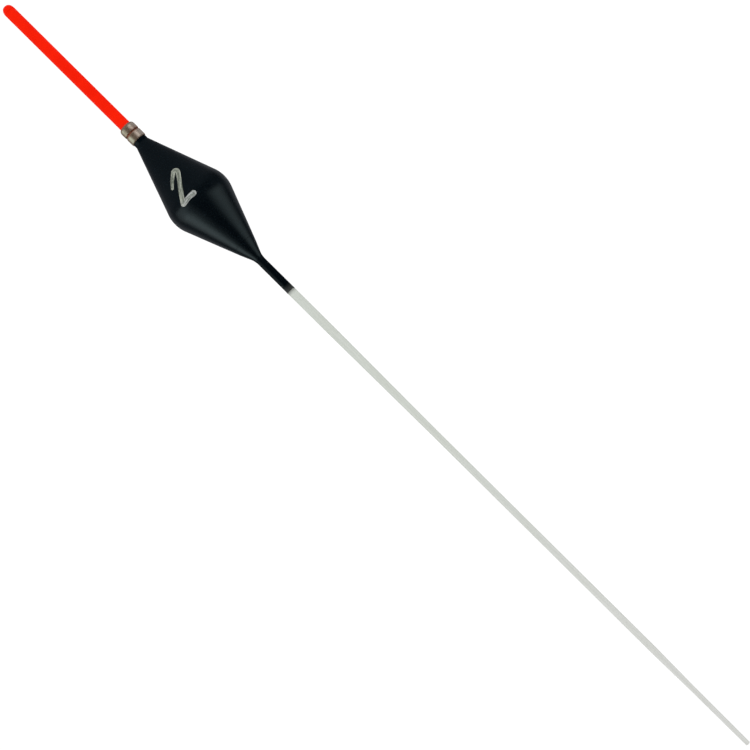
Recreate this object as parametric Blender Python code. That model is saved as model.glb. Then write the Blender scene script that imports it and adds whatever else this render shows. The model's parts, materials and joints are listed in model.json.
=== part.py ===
"""Pole float ("bobber") for coarse fishing, modelled upright as it floats.

The float is turned, so every piece is a solid of revolution about Z. The antenna points up (+Z)
and the long glass-fibre stem hangs down (-Z). The origin lies on the axis, halfway between the
two metal bands of the line collar, which is where the float sits in the water surface.

Lengths below are in millimetres and are scaled to metres when a mesh is made.
"""

import math

import bmesh
import bpy

MM = 0.001

# ---- driving dimensions (mm; heights are z, measured from the middle of the line collar) ----

GLUE_GAP = 0.03             # radial and end gap between pieces that are glued together
SLIDE_GAP = 0.04            # radial gap of the antenna's push fit

TIP_Z = 42.9                # top of the antenna
TIP_DOME = 1.65             # height of the tip plug's dome
TIP_FLAT_R = 0.45           # radius of the flat on top of the dome
ANTENNA_R = 1.46
ANTENNA_WALL = 0.4
TIP_PLUG_LENGTH = 4.2       # how far the tip plug reaches down inside the tube

BAND_R = 2.04               # widest radius of the two metal bands
BAND_EDGE_R = 1.94          # radius at a band's rounded edges
BAND_ROUNDING = 0.4         # height over which an edge is rounded
BAND_MOUTH_R = 1.52         # the upper band closes in to this radius around the antenna
BAND_SHOULDER = 0.8         # height over which it closes in
COLLAR_TOP_Z = 2.35
COLLAR_BOTTOM_Z = -2.25
BAND_SPACING = 0.25         # open groove between the bands

SLEEVE_WALL = 0.15
SLEEVE_TOP_Z = 1.5
SOCKET_FLOOR_Z = -8.9       # top of the plug that the antenna rests on
SLEEVE_END_Z = -10.0

NECK_R = 1.83
NECK_END_Z = -3.24          # where the plain neck turns into the upper cone
BUSH_CONE_END_Z = -6.3      # the bush carries the first stretch of the upper cone
BUSH_SPIGOT_R = 2.0
BUSH_END_Z = -11.3

UPPER_CONE_ANGLE = math.radians(19.8)
LOWER_CONE_ANGLE = math.radians(21.2)
VERTEX_Z = -22.75           # height where the two cones would meet in a sharp edge
BELLY_ARC_R = 8.0           # the edge is rounded to this radius

TAIL_CONE_Z = -37.4         # the tail collar carries the last stretch of the lower cone
TAIL_BEND_Z = -38.9         # and runs in a little steeper from here
TAIL_FILLET_Z = -41.75      # until it flares into its thin lower edge
TAIL_FILLET_R = 1.38
TAIL_END_Z = -42.6
TAIL_END_R = 1.2
TAIL_SPIGOT_R = 1.9
TAIL_SPIGOT_LENGTH = 3.0

STEM_R = 1.08               # through the body and just below it
STEM_TAPER_Z = -65.3        # the stem starts to taper here
STEM_WAIST_Z = -101.8       # and is parallel from here
STEM_WAIST_R = 0.855
STEM_POINT_Z = -174.8       # the ground point starts here
STEM_POINT_R = 0.66
STEM_POINT_LENGTH = 13.0
STEM_END_Z = -207.1
STEM_END_R = 0.58

WIDE_SEGMENTS = 64          # around the body
FINE_SEGMENTS = 36          # around the small pieces
STEM_SEGMENTS = 28

# ---- sizes that follow from them ----

ANTENNA_BORE_R = ANTENNA_R - ANTENNA_WALL
TIP_SEAM_Z = TIP_Z - TIP_DOME
ANTENNA_END_Z = SOCKET_FLOOR_Z + GLUE_GAP
SLEEVE_BORE_R = ANTENNA_R + SLIDE_GAP
SLEEVE_R = SLEEVE_BORE_R + SLEEVE_WALL
BAND_BORE_R = SLEEVE_R + GLUE_GAP
STEM_BORE_R = STEM_R + GLUE_GAP


def upper_cone_r(z):
    """Radius of the upper cone at height z."""
    return NECK_R + (NECK_END_Z - z) * math.tan(UPPER_CONE_ANGLE)


def lower_cone_r(z):
    """Radius of the lower cone at height z."""
    return upper_cone_r(VERTEX_Z) - (VERTEX_Z - z) * math.tan(LOWER_CONE_ANGLE)


def arc(centre, radius, start, stop, steps):
    """Points (r, z) on an arc, from angle start to angle stop, in degrees from the +r axis."""
    points = []
    for i in range(steps + 1):
        angle = math.radians(start + (stop - start) * i / steps)
        points.append((centre[0] + radius * math.cos(angle), centre[1] + radius * math.sin(angle)))
    return points


def round_off(start, end, steps):
    """Quarter ellipse that leaves start upright (along z) and reaches end level (along r)."""
    points = []
    for i in range(steps + 1):
        angle = 0.5 * math.pi * i / steps
        r = end[0] + (start[0] - end[0]) * math.cos(angle)
        z = start[1] + (end[1] - start[1]) * math.sin(angle)
        points.append((r, z))
    return points


def make_material(name, colour, roughness, metallic=0.0):
    material = bpy.data.materials.new(name)
    material.use_nodes = True
    shader = material.node_tree.nodes["Principled BSDF"]
    shader.inputs["Base Color"].default_value = (*colour, 1.0)
    shader.inputs["Roughness"].default_value = roughness
    shader.inputs["Metallic"].default_value = metallic
    return material


def turn(name, outline, segments, material, parent=None):
    """Spin a closed outline of (r, z) points about Z into one solid.

    The outline runs once round the section. Two neighbouring points at r = 0 leave the
    section open along the axis, where the spun ends meet.
    """
    mesh = bpy.data.meshes.new(name)
    bm = bmesh.new()
    verts = [bm.verts.new((r * MM, 0.0, z * MM)) for r, z in outline]
    edges = []
    for i, first in enumerate(verts):
        second = verts[(i + 1) % len(verts)]
        on_axis = outline[i][0] == 0.0 and outline[(i + 1) % len(verts)][0] == 0.0
        if not on_axis:
            edges.append(bm.edges.new((first, second)))
    bmesh.ops.spin(
        bm,
        geom=verts + edges,
        cent=(0.0, 0.0, 0.0),
        axis=(0.0, 0.0, 1.0),
        angle=2.0 * math.pi,
        steps=segments,
        use_merge=True,
    )
    bmesh.ops.remove_doubles(bm, verts=bm.verts, dist=0.00001 * MM)
    bmesh.ops.recalc_face_normals(bm, faces=bm.faces)
    bm.to_mesh(mesh)
    bm.free()
    mesh.shade_smooth()
    mesh.set_sharp_from_angle(angle=math.radians(35.0))
    mesh.materials.append(material)
    piece = bpy.data.objects.new(name, mesh)
    piece.parent = parent
    bpy.context.collection.objects.link(piece)
    return piece


def make_antenna_tube(parent):
    """Hollow fluorescent tube, open at its lower end."""
    outline = [
        (ANTENNA_BORE_R, ANTENNA_END_Z),
        (ANTENNA_R - 0.1, ANTENNA_END_Z),
        (ANTENNA_R, ANTENNA_END_Z + 0.3),
        (ANTENNA_R, TIP_SEAM_Z - GLUE_GAP),
        (ANTENNA_BORE_R, TIP_SEAM_Z - GLUE_GAP),
    ]
    plastic = make_material("antenna_plastic", (0.93, 0.03, 0.006), 0.35)
    turn("antenna_tube", outline, FINE_SEGMENTS, plastic, parent)


def make_antenna_tip_plug(parent):
    """Domed plug that closes the tube and keeps it full of air."""
    shank_r = ANTENNA_BORE_R - GLUE_GAP
    outline = [
        (0.0, TIP_SEAM_Z - TIP_PLUG_LENGTH),
        (shank_r, TIP_SEAM_Z - TIP_PLUG_LENGTH),
        (shank_r, TIP_SEAM_Z),
    ]
    outline += round_off((ANTENNA_R, TIP_SEAM_Z), (TIP_FLAT_R, TIP_Z), 8)
    outline.append((0.0, TIP_Z))
    plastic = make_material("tip_plastic", (0.93, 0.03, 0.006), 0.35)
    turn("antenna_tip_plug", outline, FINE_SEGMENTS, plastic, parent)


def make_upper_band():
    """Plated ring whose top edge rolls in around the antenna and caps the sleeve."""
    low_z = BAND_SPACING / 2.0
    lip_z = SLEEVE_TOP_Z + GLUE_GAP
    lower_edge = round_off((BAND_R, low_z + BAND_ROUNDING), (BAND_EDGE_R, low_z), 4)
    outline = [(BAND_BORE_R, low_z)]
    outline += reversed(lower_edge)
    outline += round_off((BAND_R, COLLAR_TOP_Z - BAND_SHOULDER), (BAND_MOUTH_R, COLLAR_TOP_Z), 6)
    outline += [(BAND_MOUTH_R, lip_z), (BAND_BORE_R, lip_z)]
    plate = make_material("upper_band_plate", (0.42, 0.36, 0.30), 0.28, 1.0)
    turn("upper_band", outline, FINE_SEGMENTS, plate)


def make_lower_band():
    """Plated ring below the groove, pushed against the neck."""
    top_z = -BAND_SPACING / 2.0
    upper_edge = round_off((BAND_R, top_z - BAND_ROUNDING), (BAND_EDGE_R, top_z), 4)
    lower_edge = round_off((BAND_R, COLLAR_BOTTOM_Z + BAND_ROUNDING), (BAND_EDGE_R, COLLAR_BOTTOM_Z), 4)
    outline = [(BAND_BORE_R, COLLAR_BOTTOM_Z)]
    outline += reversed(lower_edge)
    outline += upper_edge
    outline.append((BAND_BORE_R, top_z))
    plate = make_material("lower_band_plate", (0.42, 0.36, 0.30), 0.28, 1.0)
    turn("lower_band", outline, FINE_SEGMENTS, plate)


def make_socket_sleeve():
    """Thin brass tube that the antenna pushes into; it shows only in the collar's groove."""
    outline = [
        (SLEEVE_BORE_R, SLEEVE_END_Z),
        (SLEEVE_R, SLEEVE_END_Z),
        (SLEEVE_R, SLEEVE_TOP_Z),
        (SLEEVE_BORE_R, SLEEVE_TOP_Z),
    ]
    brass = make_material("sleeve_brass", (0.30, 0.13, 0.06), 0.4, 1.0)
    turn("socket_sleeve", outline, FINE_SEGMENTS, brass)


def make_socket_plug():
    """Disc at the bottom of the sleeve: it stops the antenna and keeps water out of the body."""
    plug_r = SLEEVE_BORE_R - GLUE_GAP
    outline = [(0.0, SLEEVE_END_Z), (plug_r, SLEEVE_END_Z), (plug_r, SOCKET_FLOOR_Z), (0.0, SOCKET_FLOOR_Z)]
    resin = make_material("plug_resin", (0.28, 0.22, 0.14), 0.5)
    turn("socket_plug", outline, FINE_SEGMENTS, resin)


def make_neck_bush():
    """Hard bush that joins the sleeve to the soft body: neck, start of the cone and a spigot."""
    floor_z = SLEEVE_END_Z - GLUE_GAP
    outline = [
        (STEM_BORE_R, BUSH_END_Z),
        (BUSH_SPIGOT_R, BUSH_END_Z),
        (BUSH_SPIGOT_R, BUSH_CONE_END_Z),
        (upper_cone_r(BUSH_CONE_END_Z), BUSH_CONE_END_Z),
        (NECK_R, NECK_END_Z),
        (NECK_R, COLLAR_BOTTOM_Z - GLUE_GAP),
        (BAND_BORE_R, COLLAR_BOTTOM_Z - GLUE_GAP),
        (BAND_BORE_R, floor_z),
        (STEM_BORE_R, floor_z),
    ]
    lacquer = make_material("neck_lacquer", (0.008, 0.011, 0.012), 0.3)
    turn("neck_bush", outline, FINE_SEGMENTS, lacquer)


def make_float_body():
    """Balsa body, two long cones with a rounded belly, bored through for the stem."""
    top_z = BUSH_CONE_END_Z - GLUE_GAP
    bush_bore_r = BUSH_SPIGOT_R + GLUE_GAP
    tail_bore_r = TAIL_SPIGOT_R + GLUE_GAP
    tail_bore_z = TAIL_CONE_Z + TAIL_SPIGOT_LENGTH + GLUE_GAP
    # The belly's arc is tangent to both cones. The angles are the cones' normals.
    upper_normal = UPPER_CONE_ANGLE
    lower_normal = -LOWER_CONE_ANGLE
    mid_normal = (upper_normal + lower_normal) / 2.0
    half_turn = (upper_normal - lower_normal) / 2.0
    reach = BELLY_ARC_R / math.cos(half_turn)
    centre = (
        upper_cone_r(VERTEX_Z) - reach * math.cos(mid_normal),
        VERTEX_Z - reach * math.sin(mid_normal),
    )
    outline = [
        (STEM_BORE_R, tail_bore_z),
        (STEM_BORE_R, BUSH_END_Z - GLUE_GAP),
        (bush_bore_r, BUSH_END_Z - GLUE_GAP),
        (bush_bore_r, top_z),
        (upper_cone_r(top_z), top_z),
    ]
    outline += arc(centre, BELLY_ARC_R, math.degrees(upper_normal), math.degrees(lower_normal), 10)
    outline += [
        (lower_cone_r(TAIL_CONE_Z), TAIL_CONE_Z),
        (tail_bore_r, TAIL_CONE_Z),
        (tail_bore_r, tail_bore_z),
    ]
    lacquer = make_material("body_lacquer", (0.008, 0.011, 0.012), 0.3)
    turn("float_body", outline, WIDE_SEGMENTS, lacquer)


def make_tail_collar():
    """Hard collar that fairs the lower cone into the stem."""
    top_z = TAIL_CONE_Z - GLUE_GAP
    outline = [
        (STEM_BORE_R, TAIL_END_Z),
        (TAIL_END_R, TAIL_END_Z),
        (TAIL_END_R + 0.05, (TAIL_END_Z + TAIL_FILLET_Z) / 2.0),
        (TAIL_FILLET_R, TAIL_FILLET_Z),
        (lower_cone_r(TAIL_BEND_Z), TAIL_BEND_Z),
        (lower_cone_r(top_z), top_z),
        (TAIL_SPIGOT_R, top_z),
        (TAIL_SPIGOT_R, top_z + TAIL_SPIGOT_LENGTH),
        (STEM_BORE_R, top_z + TAIL_SPIGOT_LENGTH),
    ]
    lacquer = make_material("tail_lacquer", (0.008, 0.011, 0.012), 0.3)
    turn("tail_collar", outline, FINE_SEGMENTS, lacquer)


def make_stem():
    """Glass-fibre stem, glued through the whole body and ground to a point at its lower end."""
    outline = [
        (0.0, STEM_END_Z),
        (STEM_END_R, STEM_END_Z),
        (STEM_POINT_R, STEM_POINT_Z - STEM_POINT_LENGTH),
        (STEM_WAIST_R, STEM_POINT_Z),
        (STEM_WAIST_R, STEM_WAIST_Z),
        (STEM_R, STEM_TAPER_Z),
        (STEM_R, SLEEVE_END_Z - GLUE_GAP),
        (0.0, SLEEVE_END_Z - GLUE_GAP),
    ]
    glass_fibre = make_material("stem_glass_fibre", (0.60, 0.63, 0.57), 0.45)
    turn("stem", outline, STEM_SEGMENTS, glass_fibre)


def clear_scene():
    for item in list(bpy.data.objects):
        bpy.data.objects.remove(item, do_unlink=True)


def main():
    clear_scene()
    antenna_axis = bpy.data.objects.new("antenna_axis", None)
    bpy.context.collection.objects.link(antenna_axis)
    make_antenna_tube(antenna_axis)
    make_antenna_tip_plug(antenna_axis)
    make_upper_band()
    make_lower_band()
    make_socket_sleeve()
    make_socket_plug()
    make_neck_bush()
    make_float_body()
    make_tail_collar()
    make_stem()


main()
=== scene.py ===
import json
import math

import bmesh
import bpy
from mathutils import Matrix, Vector, noise

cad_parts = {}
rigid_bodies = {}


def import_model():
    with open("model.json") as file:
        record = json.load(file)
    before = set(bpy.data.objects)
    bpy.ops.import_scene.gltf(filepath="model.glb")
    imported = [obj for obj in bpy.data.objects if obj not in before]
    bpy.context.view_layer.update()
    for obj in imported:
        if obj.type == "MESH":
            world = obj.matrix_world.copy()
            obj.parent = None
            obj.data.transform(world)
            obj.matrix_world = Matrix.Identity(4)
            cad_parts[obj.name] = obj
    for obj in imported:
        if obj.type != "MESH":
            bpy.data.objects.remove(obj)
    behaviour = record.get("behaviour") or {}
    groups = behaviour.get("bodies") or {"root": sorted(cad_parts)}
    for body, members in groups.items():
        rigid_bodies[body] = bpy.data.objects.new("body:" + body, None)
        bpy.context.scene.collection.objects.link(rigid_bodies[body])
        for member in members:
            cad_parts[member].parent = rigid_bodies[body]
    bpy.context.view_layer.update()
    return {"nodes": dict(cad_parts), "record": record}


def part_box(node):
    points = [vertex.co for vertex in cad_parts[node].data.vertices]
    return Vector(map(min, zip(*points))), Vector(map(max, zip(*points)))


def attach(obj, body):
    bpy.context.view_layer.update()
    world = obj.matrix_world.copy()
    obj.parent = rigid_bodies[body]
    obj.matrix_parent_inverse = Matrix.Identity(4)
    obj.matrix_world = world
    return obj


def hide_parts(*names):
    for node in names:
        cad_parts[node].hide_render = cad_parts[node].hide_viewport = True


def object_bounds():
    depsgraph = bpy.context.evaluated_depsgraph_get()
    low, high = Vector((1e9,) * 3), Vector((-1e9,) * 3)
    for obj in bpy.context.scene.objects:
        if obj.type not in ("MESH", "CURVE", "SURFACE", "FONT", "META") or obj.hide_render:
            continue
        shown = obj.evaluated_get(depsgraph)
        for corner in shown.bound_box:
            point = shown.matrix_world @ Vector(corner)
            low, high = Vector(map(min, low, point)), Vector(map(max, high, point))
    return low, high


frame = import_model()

MM = 0.001

# ---- sizes of the finish (the object's own sizes come from the frame) ----

ANTENNA_SEGMENTS = 96               # sides of the antenna, the collar and the socket
BODY_SEGMENTS = 176                 # sides of the black pieces
STEM_SEGMENTS = 48
SHARP_TURN = math.radians(15.0)     # outline corners that turn more than this are rounded
CORNER_STEPS = 5                    # pieces of the curve that rounds a corner
CORNER_SHARE = 0.4                  # of the shorter side, the most that a rounded corner takes
GUARD_SHARE = 0.4                   # of the corner's reach, from the curve's end to its guard point
SMOOTH_REACH = 2.5 * MM             # how far from an outline point its bend is felt
SLOPE_PROBE = 0.2 * MM              # the height over which a surface's slope is measured

DIP_LENGTH = 10.7 * MM              # black lacquer on the stem, below the tail collar
DIP_FILM = 0.022 * MM               # how thick it is
DIP_CORE = 0.03 * MM                # how far the film's inner face lies inside the stem
DIP_MENISCUS = 0.9 * MM             # how far it creeps down from the tail collar
DIP_SET_IN = 0.015 * MM             # how far its top edge stays inside the tail collar's rim
DIP_OVERLAP = 0.02 * MM             # how far its top reaches into the tail collar
DIP_BEAD = 0.03 * MM                # how much the lacquer stands up where the masking ended
DIP_UNEVENNESS = 0.25 * MM          # how much its lower edge runs up and down

FIGURE_CENTRE = (-1.1 * MM, -18.6 * MM)     # x and z of the painted load figure
FIGURE_HEIGHT = 7.6 * MM            # of its centre line
FIGURE_STROKE = 1.12 * MM           # the brush stroke's mean width
FIGURE_THICKNESS = 0.07 * MM
FIGURE_SUNK = 0.05 * MM             # how far its underside lies inside the body
FIGURE_STEP = 0.09 * MM             # between points along the stroke
FIGURE_EASING = 6                   # rounds of smoothing of the stroke's corners
FIGURE_ACROSS = 16                  # faces across it

FLOOR_DROP = 40.0 * MM              # from the stem's end down to the studio floor
STUDIO_FLOOR = 0.75                 # radius of the flat part of the floor
STUDIO_BEND = 0.75                  # how far the dome bulges out beyond it
STUDIO_HEIGHT = 1.6
STUDIO_STEPS = 24                   # from the floor to the dome's top
STUDIO_SEGMENTS = 96
STUDIO_GLOW = 0.62                  # the dome's own light
SOFTBOX_REACH = 0.27                # how far the softboxes stand from the float's axis
SOFTBOX_LAYERS = 3                  # each softbox is this many nested lights, so its edges are soft
SOFTBOX_STEP = 0.002                # the nested lights stand this far behind each other
SOFTBOX_FADE = 0.014                # and each is lower at the top than the next by this much
SOFTBOXES = (
    # name, degrees round from the camera's side, half width in degrees, bottom and top height,
    # radiance in the middle, colour
    ("collar_right", 46.0, 29.0, (0.0, 0.160), 1.24, (0.64, 0.79, 1.0)),
    ("collar_back", 107.0, 31.0, (0.0, 0.160), 0.55, (0.52, 0.73, 1.0)),
    ("collar_left", -80.0, 35.0, (0.0, 0.160), 1.14, (0.59, 0.90, 1.0)),
    ("body_right", 67.0, 37.0, (-0.420, -0.054), 0.64, (1.0, 1.0, 1.0)),
    ("body_left", -77.0, 25.0, (-0.420, -0.030), 1.20, (1.0, 1.0, 1.0)),
    ("body_left_fill", -52.0, 28.0, (-0.420, -0.040), 0.22, (1.0, 1.0, 1.0)),
    ("body_left_high", -70.0, 37.0, (-0.036, 0.080), 0.74, (1.0, 1.0, 1.0)),
)

CAMERA_DISTANCE = 0.300
CAMERA_LENS = 60.24                 # mm
CAMERA_OFFSET = (-0.21 * MM, 0.34 * MM)     # x from the axis, and z from the float's middle
STEM_SLOPE = math.radians(44.75)    # how steeply the stem runs down to the right in the picture


# ---- outlines: read from the CAD nodes, softened at their corners, then made fine ----

def section(node):
    """The outline of a turned CAD node as ordered (r, z) points, and whether it closes on itself.

    The points are the mesh edges that lie in the half-plane y = 0, x >= 0. A solid outline, which
    doesn't close on itself, is run on to the axis at both ends.
    """
    mesh = frame["nodes"][node].data
    tolerance = 1e-6
    links = {}

    def key(index):
        co = mesh.vertices[index].co
        if abs(co.y) > tolerance or co.x < -tolerance:
            return None
        return round(co.x / tolerance), round(co.z / tolerance)

    for edge in mesh.edges:
        a, b = (key(i) for i in edge.vertices)
        if a is None or b is None or a == b:
            continue
        links.setdefault(a, set()).add(b)
        links.setdefault(b, set()).add(a)
    ends = [k for k in links if len(links[k]) == 1]
    start = min(ends, key=lambda k: k[1]) if ends else min(links)
    chain = [start]
    while True:
        ahead = [k for k in links[chain[-1]] if k not in chain[-2:] and k != start]
        if not ahead:
            break
        chain.append(ahead[0])
    points = [Vector((r * tolerance, z * tolerance)) for r, z in chain]
    if ends and points[0].x > tolerance:
        points.insert(0, Vector((0.0, points[0].y)))
    if ends and points[-1].x > tolerance:
        points.append(Vector((0.0, points[-1].y)))
    return points, not ends


def round_corners(points, closed, radius):
    """Replaces each sharp corner by a small curve, with a guard point on either side of it."""
    made = []
    for i, point in enumerate(points):
        if not closed and i in (0, len(points) - 1):
            made.append(point)
            continue
        before = point - points[i - 1]
        after = points[(i + 1) % len(points)] - point
        turn_angle = before.angle(after)
        if turn_angle < SHARP_TURN:
            made.append(point)
            continue
        most = CORNER_SHARE * min(before.length, after.length)
        reach = min(radius * math.tan(turn_angle / 2.0), most)
        start = point - before.normalized() * reach
        end = point + after.normalized() * reach
        made.append(start - before.normalized() * reach * GUARD_SHARE)
        for step in range(CORNER_STEPS + 1):
            t = step / CORNER_STEPS
            made.append(start.lerp(point, t).lerp(point.lerp(end, t), t))
        made.append(end + after.normalized() * reach * GUARD_SHARE)
    return made


def densify(points, closed, spacing):
    """Adds points along a smooth (Hermite) curve through the given ones, at most spacing apart.

    Long stretches stay straight, because a bend reaches no further than SMOOTH_REACH.
    """
    count = len(points)
    tangents = []
    for i in range(count):
        if not closed and i == 0:
            tangents.append(Vector((1.0, 0.0)))
        elif not closed and i == count - 1:
            tangents.append(Vector((-1.0, 0.0)))
        else:
            tangents.append((points[(i + 1) % count] - points[i - 1]).normalized())
    made = []
    for i in range(count if closed else count - 1):
        p, q = points[i], points[(i + 1) % count]
        length = (q - p).length
        reach = min(length, SMOOTH_REACH)
        m, n = tangents[i] * reach, tangents[(i + 1) % count] * reach
        steps = max(1, math.ceil(length / spacing))
        for step in range(steps):
            t = step / steps
            made.append(
                p * (2 * t**3 - 3 * t**2 + 1) + m * (t**3 - 2 * t**2 + t)
                + q * (3 * t**2 - 2 * t**3) + n * (t**3 - t**2)
            )
    if not closed:
        made.append(points[-1])
    return made


def new_piece(name, bm, material):
    """A smooth-shaded object made of the bmesh, with its faces pointing out."""
    bmesh.ops.recalc_face_normals(bm, faces=bm.faces)
    mesh = bpy.data.meshes.new(name)
    bm.to_mesh(mesh)
    bm.free()
    mesh.shade_smooth()
    mesh.materials.append(material)
    piece = bpy.data.objects.new(name, mesh)
    bpy.context.scene.collection.objects.link(piece)
    return piece


def turn(name, outline, closed, segments, material, wobble=0.0, grain=0.006):
    """Turns an outline of (r, z) points about Z, with a faint unevenness of +-wobble metres."""
    bm = bmesh.new()
    rings = []
    for r, z in outline:
        if r < 1e-7:
            rings.append([bm.verts.new((0.0, 0.0, z))])
            continue
        ring = []
        for i in range(segments):
            angle = 2.0 * math.pi * i / segments
            x, y = r * math.cos(angle), r * math.sin(angle)
            stretch = 1.0
            if wobble:
                stretch += wobble / r * noise.noise(Vector((x, y, z)) / grain)
            ring.append(bm.verts.new((x * stretch, y * stretch, z)))
        rings.append(ring)
    for j in range(len(rings) if closed else len(rings) - 1):
        low, high = rings[j], rings[(j + 1) % len(rings)]
        for i in range(segments):
            k = (i + 1) % segments
            corners = [low[i % len(low)], low[k % len(low)], high[k % len(high)], high[i % len(high)]]
            bm.faces.new(list(dict.fromkeys(corners)))
    return new_piece(name, bm, material)


def outer_radius(node):
    """A function that gives the node's outer radius at any height z that the node reaches."""
    outline, closed = section(node)
    following = outline[1:] + outline[:1] if closed else outline[1:]
    spans = list(zip(outline, following))

    def radius_at(z):
        radius = 0.0
        for a, b in spans:
            if a.y != b.y and min(a.y, b.y) <= z <= max(a.y, b.y):
                radius = max(radius, a.x + (b.x - a.x) * (z - a.y) / (b.y - a.y))
        return radius

    return radius_at


def on_front(radius_at, flat, lift):
    """The point of a turned surface's front at (x, z), lifted off the surface."""
    r = radius_at(flat.y)
    slope = (radius_at(flat.y + SLOPE_PROBE) - r) / SLOPE_PROBE
    point = Vector((flat.x, -math.sqrt(r * r - flat.x * flat.x), flat.y))
    normal = Vector((point.x / r, point.y / r, -slope)).normalized()
    return point + normal * lift


# ---- materials ----

def add(tree, kind, inputs=None, **settings):
    """A new node. inputs maps a socket's name or index to a value or to another node's output."""
    node = tree.nodes.new(kind)
    for key, value in settings.items():
        setattr(node, key, value)
    for key, value in (inputs or {}).items():
        if isinstance(value, bpy.types.NodeSocket):
            tree.links.new(value, node.inputs[key])
        else:
            node.inputs[key].default_value = value
    return node


def new_material(name, **sockets):
    """A Principled material whose uniform values are set on the shader's own sockets."""
    material = bpy.data.materials.new(name)
    material.use_nodes = True
    shader = material.node_tree.nodes["Principled BSDF"]
    for key, value in sockets.items():
        shader.inputs[key.replace("_", " ")].default_value = value
    return material, material.node_tree, shader


def position(tree, stretch=(1.0, 1.0, 1.0)):
    """Object coordinates, scaled by stretch along each axis."""
    coordinates = add(tree, "ShaderNodeTexCoord").outputs["Object"]
    return add(tree, "ShaderNodeMapping", {"Vector": coordinates, "Scale": stretch}).outputs["Vector"]


def speckle(tree, where, size, detail=3.0, roughness=0.55):
    """Noise from 0 to 1 whose blotches are about size metres across."""
    settings = {"Vector": where, "Scale": 1.0 / size, "Detail": detail, "Roughness": roughness}
    return add(tree, "ShaderNodeTexNoise", settings).outputs["Fac"]


def remap(tree, value, low, high, out_low, out_high):
    """value from low..high to out_low..out_high, clamped and smoothed at both ends."""
    inputs = {"Value": value, 1: low, 2: high, 3: out_low, 4: out_high}
    return add(tree, "ShaderNodeMapRange", inputs, interpolation_type="SMOOTHSTEP").outputs["Result"]


def math_node(tree, operation, a, b=0.0):
    """The result of a Math node."""
    return add(tree, "ShaderNodeMath", {0: a, 1: b}, operation=operation).outputs["Value"]


def mix_colour(tree, factor, a, b):
    """Colour a where factor is 0, b where it is 1."""
    a = (*a, 1.0) if isinstance(a, tuple) else a
    b = (*b, 1.0) if isinstance(b, tuple) else b
    return add(tree, "ShaderNodeMix", {0: factor, 6: a, 7: b}, data_type="RGBA").outputs[2]


def height_above(tree):
    """The point's z in metres."""
    coordinates = add(tree, "ShaderNodeTexCoord").outputs["Object"]
    return add(tree, "ShaderNodeSeparateXYZ", {"Vector": coordinates}).outputs["Z"]


def bump(tree, height, depth, below=None):
    """A normal from a 0-to-1 height whose full range is depth metres, laid over another normal."""
    inputs = {"Height": height, "Strength": 1.0, "Distance": depth}
    if below is not None:
        inputs["Normal"] = below
    return add(tree, "ShaderNodeBump", inputs).outputs["Normal"]


def antenna_plastic():
    """Fluorescent orange-red plastic tube: drawn lines along it, scuffed where it plugs in."""
    material, tree, shader = new_material("antenna_plastic", Specular_IOR_Level=0.03)
    collar_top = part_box("upper_band")[1].z
    z = height_above(tree)
    blotch = speckle(tree, position(tree), 4.0 * MM)
    drawn = speckle(tree, position(tree, (1.0, 1.0, 0.02)), 0.12 * MM, 4.0)
    rings = speckle(tree, position(tree, (0.05, 0.05, 1.0)), 0.10 * MM, 3.0)
    plugged = remap(tree, z, collar_top - 0.2 * MM, collar_top + 0.5 * MM, 1.0, 0.0)
    faded = remap(tree, blotch, 0.3, 0.7, 0.0, 1.0)
    colour = mix_colour(tree, faded, (0.93, 0.0135, 0.0006), (0.87, 0.0105, 0.0004))
    worn = math_node(tree, "MULTIPLY", plugged, remap(tree, rings, 0.45, 0.7, 0.0, 0.5))
    colour = mix_colour(tree, worn, colour, (0.80, 0.10, 0.04))
    tree.links.new(colour, shader.inputs["Base Color"])
    rough = remap(tree, drawn, 0.2, 0.8, 0.42, 0.56)
    rough = math_node(tree, "ADD", rough, math_node(tree, "MULTIPLY", worn, 0.3))
    tree.links.new(rough, shader.inputs["Roughness"])
    normal = bump(tree, drawn, 0.006 * MM)
    normal = bump(tree, speckle(tree, position(tree), 0.5 * MM, 2.0), 0.01 * MM, normal)
    tree.links.new(normal, shader.inputs["Normal"])
    return material


def plated_metal():
    """Dull, warm nickel plate with fine turning lines, brassy where worn and red-brown towards the
    groove.
    """
    material, tree, shader = new_material("plated_bands", Metallic=0.92)
    lines = speckle(tree, position(tree, (0.04, 0.04, 1.0)), 0.05 * MM, 4.0, 0.65)
    stain = speckle(tree, position(tree), 1.1 * MM, 4.0)
    worn = remap(tree, stain, 0.5, 0.72, 0.0, 0.55)
    colour = mix_colour(tree, worn, (0.84, 0.60, 0.42), (0.68, 0.42, 0.26))
    colour = mix_colour(tree, remap(tree, lines, 0.25, 0.6, 0.35, 0.0), colour, (0.32, 0.19, 0.12))
    off_groove = math_node(tree, "ABSOLUTE", height_above(tree))
    # red-brown in blotches within about a millimetre of the groove
    groove_red_tone = remap(tree, off_groove, 0.1 * MM, 1.1 * MM, 0.6, 0.0)
    groove_red_tone = math_node(tree, "MULTIPLY", groove_red_tone, remap(tree, stain, 0.35, 0.6, 0.4, 1.0))
    colour = mix_colour(tree, groove_red_tone, colour, (0.62, 0.27, 0.17))
    tree.links.new(colour, shader.inputs["Base Color"])
    rough = remap(tree, lines, 0.2, 0.8, 0.30, 0.42)
    rough = math_node(tree, "ADD", rough, math_node(tree, "MULTIPLY", worn, 0.15))
    tree.links.new(rough, shader.inputs["Roughness"])
    normal = bump(tree, lines, 0.004 * MM)
    normal = bump(tree, speckle(tree, position(tree), 0.35 * MM, 2.0), 0.006 * MM, normal)
    tree.links.new(normal, shader.inputs["Normal"])
    return material


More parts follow.
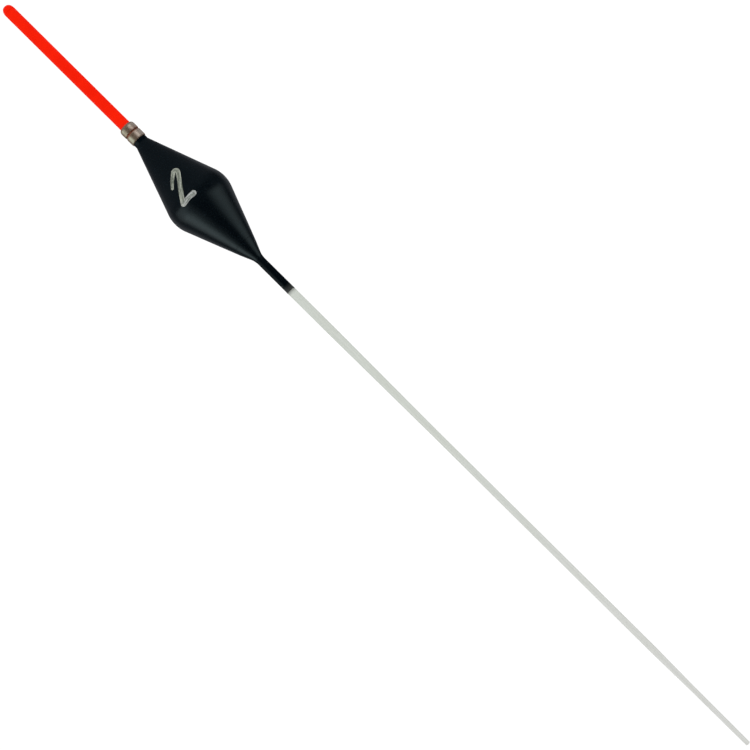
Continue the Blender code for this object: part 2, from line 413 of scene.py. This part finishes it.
def tarnished_brass():
    """Drawn brass tube gone red-brown."""
    material, tree, shader = new_material("sleeve_brass", Metallic=0.5)
    drawn = speckle(tree, position(tree, (1.0, 1.0, 0.05)), 0.10 * MM, 3.0)
    tarnish = speckle(tree, position(tree), 0.9 * MM, 4.0)
    dark = remap(tree, tarnish, 0.35, 0.65, 0.0, 1.0)
    colour = mix_colour(tree, dark, (0.58, 0.19, 0.10), (0.36, 0.10, 0.05))
    tree.links.new(colour, shader.inputs["Base Color"])
    tree.links.new(remap(tree, drawn, 0.2, 0.8, 0.3, 0.5), shader.inputs["Roughness"])
    tree.links.new(bump(tree, drawn, 0.004 * MM), shader.inputs["Normal"])
    return material


def cured_resin():
    """Amber resin with small bubbles."""
    material, tree, shader = new_material("plug_resin")
    cloud = speckle(tree, position(tree), 0.8 * MM)
    colour = mix_colour(tree, cloud, (0.36, 0.24, 0.10), (0.20, 0.13, 0.06))
    tree.links.new(colour, shader.inputs["Base Color"])
    tree.links.new(remap(tree, cloud, 0.2, 0.8, 0.3, 0.55), shader.inputs["Roughness"])
    pits = speckle(tree, position(tree), 0.2 * MM, 2.0)
    tree.links.new(bump(tree, pits, 0.02 * MM), shader.inputs["Normal"])
    return material


def black_lacquer(name, shine):
    """Satin black lacquer over turned wood: orange peel, faint grain, rubbed at the belly.

    shine is its specular level. At its lower end, on the stem, the lacquer is thin enough to let
    the grey rod show through a little.
    """
    tint = (0.74, 0.97, 1.0, 1.0)
    material, tree, shader = new_material(name, Specular_Tint=tint, Specular_IOR_Level=shine)
    body_low, body_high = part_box("float_body")
    belly_z = body_low.z * 0.53 + body_high.z * 0.47
    z = height_above(tree)
    cloud = speckle(tree, position(tree), 5.0 * MM, 4.0)
    grain = speckle(tree, position(tree, (1.0, 1.0, 0.12)), 0.5 * MM, 4.0)
    peel = speckle(tree, position(tree), 0.75 * MM, 2.0, 0.4)
    dust = speckle(tree, position(tree), 0.22 * MM, 1.0)
    off_belly = math_node(tree, "ABSOLUTE", math_node(tree, "SUBTRACT", z, belly_z))
    rubbed = remap(tree, off_belly, 0.4 * MM, 3.0 * MM, 1.0, 0.0)
    rubbed = math_node(tree, "MULTIPLY", rubbed, remap(tree, cloud, 0.4, 0.7, 0.2, 1.0))
    colour = mix_colour(tree, cloud, (0.0003, 0.0015, 0.0030), (0.0009, 0.0027, 0.0048))
    colour = mix_colour(tree, math_node(tree, "MULTIPLY", rubbed, 0.08), colour, (0.012, 0.016, 0.017))
    dip_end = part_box("tail_collar")[0].z - DIP_LENGTH
    thin = remap(tree, z, dip_end - 0.3 * MM, dip_end + 2.0 * MM, 1.0, 0.0)
    colour = mix_colour(tree, thin, colour, (0.042, 0.044, 0.042))
    tree.links.new(colour, shader.inputs["Base Color"])
    rough = remap(tree, cloud, 0.25, 0.75, 0.23, 0.30)
    rough = math_node(tree, "ADD", rough, remap(tree, dust, 0.62, 0.75, 0.0, 0.15))
    tree.links.new(rough, shader.inputs["Roughness"])
    normal = bump(tree, grain, 0.006 * MM)
    normal = bump(tree, peel, 0.012 * MM, normal)
    tree.links.new(normal, shader.inputs["Normal"])
    return material


def glass_fibre():
    """Ground glass-fibre rod: pale grey, with fibres along it and a greener tone near the body."""
    material, tree, shader = new_material("glass_fibre", Specular_IOR_Level=0.4)
    low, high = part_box("stem")
    z = height_above(tree)
    fibres = speckle(tree, position(tree, (1.0, 1.0, 0.012)), 0.11 * MM, 5.0, 0.6)
    bundles = speckle(tree, position(tree, (1.0, 1.0, 0.01)), 0.5 * MM, 2.0)
    cloud = speckle(tree, position(tree, (1.0, 1.0, 0.25)), 3.0 * MM)
    along = remap(tree, z, low.z, high.z - 50.0 * MM, 1.0, 0.0)
    colour = mix_colour(tree, along, (0.592, 0.628, 0.580), (0.662, 0.664, 0.650))
    colour = mix_colour(tree, remap(tree, fibres, 0.3, 0.62, 0.34, 0.0), colour, (0.455, 0.487, 0.425))
    colour = mix_colour(tree, remap(tree, bundles, 0.4, 0.7, 0.0, 0.22), colour, (0.77, 0.78, 0.74))
    colour = mix_colour(tree, remap(tree, cloud, 0.35, 0.7, 0.0, 0.16), colour, (0.52, 0.53, 0.455))
    dip_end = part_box("tail_collar")[0].z - DIP_LENGTH
    stained = remap(tree, z, dip_end - 1.1 * MM, dip_end + 0.2 * MM, 0.0, 0.65)
    colour = mix_colour(tree, stained, colour, (0.04, 0.04, 0.04))
    tree.links.new(colour, shader.inputs["Base Color"])
    tree.links.new(remap(tree, fibres, 0.3, 0.7, 0.5, 0.34), shader.inputs["Roughness"])
    normal = bump(tree, fibres, 0.008 * MM)
    normal = bump(tree, bundles, 0.012 * MM, normal)
    tree.links.new(normal, shader.inputs["Normal"])
    return material


def figure_paint():
    """Silver-grey paint laid on with a fine brush: paler where the film is thick, with a dull sheen.

    make_figure stores the film's thickness and the share of the way along the line on the mesh.
    The last stroke, from two thirds of the way on, is painted whiter: a painted highlight.
    """
    material, tree, shader = new_material("figure_paint", Metallic=0.15)
    film = add(tree, "ShaderNodeAttribute", attribute_name="film").outputs["Fac"]
    streak = speckle(tree, position(tree), 0.35 * MM, 4.0)
    flake = speckle(tree, position(tree), 0.08 * MM, 2.0)
    thickness = math_node(tree, "ADD", film, remap(tree, streak, 0.3, 0.7, -0.4, 0.15))
    along = add(tree, "ShaderNodeAttribute", attribute_name="along").outputs["Fac"]
    # painted highlight: from two thirds of the way along, the thick paint's colour turns whiter
    last_stroke_highlight = remap(tree, along, 0.66, 0.82, 0.0, 1.0)
    thick_colour_with_highlight = mix_colour(tree, last_stroke_highlight, (0.49, 0.52, 0.44), (0.56, 0.58, 0.57))
    thick = remap(tree, thickness, 0.0, 1.0, 0.0, 1.0)
    colour = mix_colour(tree, thick, (0.11, 0.13, 0.10), thick_colour_with_highlight)
    colour = mix_colour(tree, remap(tree, flake, 0.6, 0.8, 0.0, 0.4), colour, (0.62, 0.63, 0.61))
    tree.links.new(colour, shader.inputs["Base Color"])
    tree.links.new(remap(tree, flake, 0.3, 0.7, 0.55, 0.38), shader.inputs["Roughness"])
    tree.links.new(bump(tree, streak, 0.02 * MM), shader.inputs["Normal"])
    return material


# ---- pieces ----

def finish_node(node, segments, spacing, corner, material, wobble):
    """A fine turned piece with softened corners that stands for one CAD node."""
    outline, closed = section(node)
    outline = densify(round_corners(outline, closed, corner), closed, spacing)
    piece = turn(node + "_finished", outline, closed, segments, material, wobble)
    body = next(b for b, members in frame["record"]["behaviour"]["bodies"].items() if node in members)
    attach(piece, body)
    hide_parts(node)


def make_dip(material):
    """The lacquer film on the top of the stem, with its meniscus and its masked lower edge."""
    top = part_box("tail_collar")[0].z
    collar_r = outer_radius("tail_collar")(top)
    stem_r = outer_radius("stem")(top)
    bottom = top - DIP_LENGTH
    core = stem_r - DIP_CORE
    film = stem_r + DIP_FILM
    rim = collar_r - DIP_SET_IN
    outline = [Vector((core, top + DIP_OVERLAP)), Vector((rim, top + DIP_OVERLAP))]
    for step in range(1, 9):
        s = step / 8
        outline.append(Vector((film + (rim - film) * (1.0 - s) ** 2.2, top - DIP_MENISCUS * s)))
    for share, above in ((0.0, 0.5), (0.6, 0.22), (1.0, 0.1), (0.5, 0.02)):
        outline.append(Vector((film + DIP_BEAD * share, bottom + above * MM)))
    outline.append(Vector((core, bottom)))
    outline = densify(outline, True, 0.25 * MM)
    piece = turn("stem_lacquer", outline, True, STEM_SEGMENTS, material, 0.004 * MM, 0.002)
    for vertex in piece.data.vertices:
        near_end = max(0.0, 1.0 - (vertex.co.z - bottom) / (1.0 * MM))
        around = Vector((vertex.co.x, vertex.co.y, 0.0)).normalized()
        vertex.co.z += near_end * DIP_UNEVENNESS * noise.noise(around * 1.3)
    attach(piece, "float")


def figure_line():
    """Centre line of a plain, slanted numeral 2, as (right, up) in a box about one unit high."""
    crown, crown_r = Vector((0.227, 0.443)), 0.078
    line = [Vector((-0.233, 0.122)), Vector((-0.04, 0.322))]
    for step in range(15):
        angle = math.radians(133.0 - 170.0 * step / 14)
        line.append(crown + crown_r * Vector((math.cos(angle), math.sin(angle))))
    foot = Vector((-0.318, -0.463))
    for step in range(13):
        t = step / 12
        line.append(foot + Vector((0.57 * t, 0.02 * math.sin(math.pi * t) + 0.01 * t)))
    return line


def figure_path():
    """The figure's centre line on the body as even (x, z) points, with its corners eased."""
    corners = [Vector(FIGURE_CENTRE) + point * FIGURE_HEIGHT for point in figure_line()]
    path = []
    for start, end in zip(corners, corners[1:]):
        steps = max(1, round((end - start).length / FIGURE_STEP))
        path += [start.lerp(end, step / steps) for step in range(steps)]
    path.append(corners[-1])
    for _ in range(FIGURE_EASING):
        eased = [(a + b * 2.0 + c) / 4.0 for a, b, c in zip(path, path[1:], path[2:])]
        path = [path[0]] + eased + [path[-1]]
    return path


def stroke_width(share):
    """How wide the brush stroke is, a share of the way along: narrow at first, widest at the end."""
    growth = 0.30 * share**4 - 0.31 * (1.0 - share) ** 5
    waver = noise.noise(Vector((share * 9.0, 0.3, 0.7)))
    return FIGURE_STROKE * (0.97 + growth + 0.10 * waver)


def make_figure(material):
    """The painted load figure: a low, rounded stroke that lies on the body's surface."""
    path = figure_path()
    last = len(path) - 1
    radius_at = outer_radius("float_body")
    bm = bmesh.new()
    film = bm.verts.layers.float.new("film")
    along = bm.verts.layers.float.new("along")
    rings = []
    for i, flat in enumerate(path):
        ahead = path[min(i + 1, last)] - path[max(i - 1, 0)]
        side = Vector((-ahead.y, ahead.x)).normalized()
        share = i / last
        half = stroke_width(share) / 2.0
        to_end = min(i, last - i) * FIGURE_STEP
        cap = math.sqrt(max(0.02, 1.0 - max(0.0, 1.0 - to_end / half) ** 2))
        ring = []
        for j in range(FIGURE_ACROSS + 1):
            s = -1.0 + 2.0 * j / FIGURE_ACROSS
            edge = 1.0 + 0.06 * noise.noise(Vector((share * 40.0, s * 2.0, 3.1)))
            ridge = noise.noise(Vector((share * 5.0, s * 4.0, 8.2))) + 0.5 * (s * s - 0.3)
            lift = FIGURE_THICKNESS * cap * (1.0 + 0.4 * ridge) * math.sqrt(max(0.0, 1.0 - s * s))
            vertex = bm.verts.new(on_front(radius_at, flat + side * (s * edge * cap * half), lift))
            vertex[film] = 0.55 + ridge
            vertex[along] = share
            ring.append(vertex)
        for j in range(FIGURE_ACROSS - 1, 0, -1):
            s = -1.0 + 2.0 * j / FIGURE_ACROSS
            underside = flat + side * (s * cap * half)
            ring.append(bm.verts.new(on_front(radius_at, underside, -FIGURE_SUNK)))
        rings.append(ring)
    for low, high in zip(rings, rings[1:]):
        for a, b, c, d in zip(low, low[1:] + low[:1], high[1:] + high[:1], high):
            bm.faces.new((a, b, c, d))
    bm.faces.new(rings[0])
    bm.faces.new(rings[-1])
    piece = new_piece("load_figure", bm, material)
    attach(piece, "float")


def make_object():
    """Every piece: a finer one for each CAD node, then the lacquer on the stem and the figure."""
    plastic = antenna_plastic()
    plate = plated_metal()
    lacquer = black_lacquer("black_lacquer", 0.5)
    pieces = (
        # node, segments, spacing and corner radius in mm, material, slot, unevenness in mm
        ("antenna_tube", ANTENNA_SEGMENTS, 0.8, 0.03, plastic, "antenna_plastic", 0.006),
        ("antenna_tip_plug", ANTENNA_SEGMENTS, 0.15, 0.03, plastic, "antenna_plastic", 0.006),
        ("upper_band", ANTENNA_SEGMENTS, 0.10, 0.06, plate, "plated_bands", 0.006),
        ("lower_band", ANTENNA_SEGMENTS, 0.10, 0.06, plate, "plated_bands", 0.006),
        ("socket_sleeve", ANTENNA_SEGMENTS, 0.5, 0.05, tarnished_brass(), "sleeve_brass", 0.0),
        ("socket_plug", ANTENNA_SEGMENTS, 0.3, 0.05, cured_resin(), "plug_resin", 0.0),
        ("neck_bush", BODY_SEGMENTS, 0.3, 0.02, lacquer, "hard_fittings", 0.005),
        ("float_body", BODY_SEGMENTS, 0.3, 0.02, lacquer, "lacquered_balsa", 0.02),
        ("tail_collar", BODY_SEGMENTS, 0.3, 0.02, lacquer, "hard_fittings", 0.008),
        ("stem", STEM_SEGMENTS, 1.2, 0.05, glass_fibre(), "glass_fibre", 0.008),
    )
    for node, segments, spacing, corner, material, slot, wobble in pieces:
        finish_node(node, segments, spacing * MM, corner * MM, material, wobble * MM)
    make_dip(black_lacquer("stem_lacquer", 0.2))
    make_figure(figure_paint())


# ---- studio ----

def make_camera():
    """Level with the float's middle and rolled, so that the float lies from corner to corner."""
    low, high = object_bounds()
    data = bpy.data.cameras.new("camera")
    data.lens = CAMERA_LENS
    data.clip_start = 0.01
    data.clip_end = 20.0
    camera = bpy.data.objects.new("camera", data)
    bpy.context.scene.collection.objects.link(camera)
    cos_s, sin_s = math.cos(STEM_SLOPE), math.sin(STEM_SLOPE)
    right = Vector((sin_s, 0.0, -cos_s))
    up = Vector((cos_s, 0.0, sin_s))
    back = Vector((0.0, -1.0, 0.0))
    rows = zip(right, up, back)
    camera.matrix_world = Matrix([(*row, 0.0) for row in rows] + [(0.0, 0.0, 0.0, 1.0)])
    middle_z = (low.z + high.z) / 2.0
    camera.location = (CAMERA_OFFSET[0], -CAMERA_DISTANCE, middle_z + CAMERA_OFFSET[1])
    bpy.context.scene.camera = camera


def studio_surface():
    """Matt pale paper that glows evenly, so that the float is lit softly from all round."""
    material, tree, shader = new_material("studio_white", Roughness=0.9, Specular_IOR_Level=0.0,
                                          Emission_Color=(1.0, 1.0, 1.0, 1.0),
                                          Emission_Strength=STUDIO_GLOW)
    paper = speckle(tree, position(tree), 0.004, 3.0)
    colour = mix_colour(tree, paper, (0.40, 0.40, 0.40), (0.42, 0.42, 0.42))
    tree.links.new(colour, shader.inputs["Base Color"])
    return material


def make_floor():
    """A pale floor that curves up into a closed white dome."""
    floor_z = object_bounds()[0].z - FLOOR_DROP
    outline = [Vector((0.0, floor_z)), Vector((STUDIO_FLOOR, floor_z))]
    for step in range(1, STUDIO_STEPS + 1):
        angle = math.radians(-90.0 + 180.0 * step / STUDIO_STEPS)
        r = STUDIO_FLOOR + STUDIO_BEND * math.cos(angle)
        outline.append(Vector((r, floor_z + STUDIO_HEIGHT / 2.0 * (1.0 + math.sin(angle)))))
    outline.append(Vector((0.0, floor_z + STUDIO_HEIGHT)))
    floor = turn("studio_floor", outline, False, STUDIO_SEGMENTS, studio_surface())
    floor.visible_glossy = False


def make_world():
    """What glossy surfaces see instead of the dome: dark below, and dim above and behind."""
    world = bpy.data.worlds.new("studio")
    world.use_nodes = True
    tree = world.node_tree
    direction = add(tree, "ShaderNodeTexCoord").outputs["Generated"]
    separated = add(tree, "ShaderNodeSeparateXYZ", {"Vector": direction})
    height = separated.outputs["Z"]
    above = remap(tree, height, 0.22, 0.63, 0.012, 0.130)
    behind = remap(tree, separated.outputs["Y"], 0.32, 0.75, 0.0, 0.21)
    level = math_node(tree, "MAXIMUM", above, behind)
    colour = mix_colour(tree, level, (0.0, 0.0, 0.0), (0.90, 0.92, 1.0))
    tree.links.new(colour, tree.nodes["Background"].inputs["Color"])
    bpy.context.scene.world = world


def make_softboxes():
    """Lights that only make highlights: some on the collar's bands, the rest on all the others."""
    bands = bpy.data.collections.new("bands")
    others = bpy.data.collections.new("others")
    cad_nodes = list(frame["nodes"].values())
    for piece in bpy.context.scene.objects:
        if piece.type == "MESH" and piece not in cad_nodes:
            (bands if "band_" in piece.name else others).objects.link(piece)
    for name, azimuth, half_width, (bottom, top), radiance, tint in SOFTBOXES:
        for layer in range(1, SOFTBOX_LAYERS + 1):
            light = bpy.data.lights.new(name, "AREA")
            light.shape = "RECTANGLE"
            full_width = 2.0 * SOFTBOX_REACH * math.tan(math.radians(half_width))
            light.size = full_width * layer / SOFTBOX_LAYERS
            light.size_y = top - bottom - SOFTBOX_FADE * (SOFTBOX_LAYERS - layer)
            light.energy = radiance / SOFTBOX_LAYERS * math.pi * light.size * light.size_y
            light.color = tint
            lamp = bpy.data.objects.new(name, light)
            angle = math.radians(azimuth)
            reach = SOFTBOX_REACH + SOFTBOX_STEP * layer
            middle_z = bottom + light.size_y / 2.0
            lamp.location = (reach * math.sin(angle), -reach * math.cos(angle), middle_z)
            lamp.rotation_euler = (math.radians(90.0), 0.0, angle)
            lamp.visible_camera = False
            lamp.visible_diffuse = False
            lamp.light_linking.receiver_collection = bands if name.startswith("collar") else others
            bpy.context.scene.collection.objects.link(lamp)


make_object()
make_camera()
make_floor()
make_world()
make_softboxes()
bpy.context.scene.view_settings.view_transform = "Standard"
